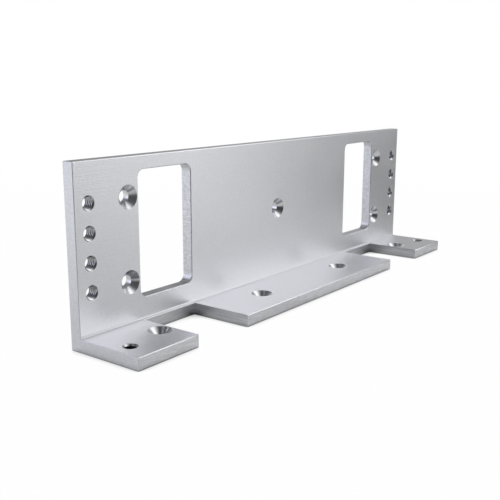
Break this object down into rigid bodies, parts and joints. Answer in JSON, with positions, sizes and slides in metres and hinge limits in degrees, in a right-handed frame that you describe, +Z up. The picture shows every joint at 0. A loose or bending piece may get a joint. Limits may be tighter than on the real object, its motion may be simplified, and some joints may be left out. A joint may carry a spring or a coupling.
{
  "type": "magnetic lock l bracket",
  "caption": "Aluminium angle bracket with windows, notched foot, countersunk and tapped holes, for fixing a surface magnetic door lock to a frame.",
  "frame": {"origin": "on the underside of the foot, below the middle of the bracket's length and depth", "axes": "+X along the bracket's length, -Y towards the front edge of the foot, +Y towards the back face of the upright leg, +Z up the leg"},
  "size_m": [0.268, 0.038, 0.076],
  "materials": {
    "anodised": "satin silver anodised"
  },
  "bodies": {
    "root": {"bracket": "anodised"}
  },
  "joints": []
}
